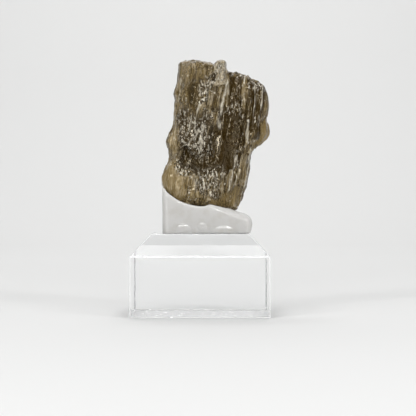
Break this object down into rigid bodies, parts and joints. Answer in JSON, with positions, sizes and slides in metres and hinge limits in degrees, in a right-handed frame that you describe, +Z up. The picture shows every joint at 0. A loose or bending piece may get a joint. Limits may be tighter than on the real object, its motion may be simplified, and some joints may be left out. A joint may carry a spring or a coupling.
{
  "type": "impact glass specimen on a display block",
  "caption": "Olive-brown fluted impact glass held by clear display putty on a bevelled clear acrylic block.",
  "frame": {"origin": "middle of the whole specimen on the block's underside", "axes": "+Z up along the stone, -Y towards the viewer, +X to the viewer's right"},
  "size_m": [0.0326, 0.0318, 0.0599],
  "materials": {
    "impact_glass": "natural fluted glass surface, satin to glossy, olive-brown and see-through",
    "putty": "smooth glossy translucent putty",
    "acrylic": "clear acrylic, cut and polished"
  },
  "bodies": {
    "root": {"impact_glass": "impact_glass", "putty": "putty", "display_block": "acrylic"}
  },
  "joints": []
}
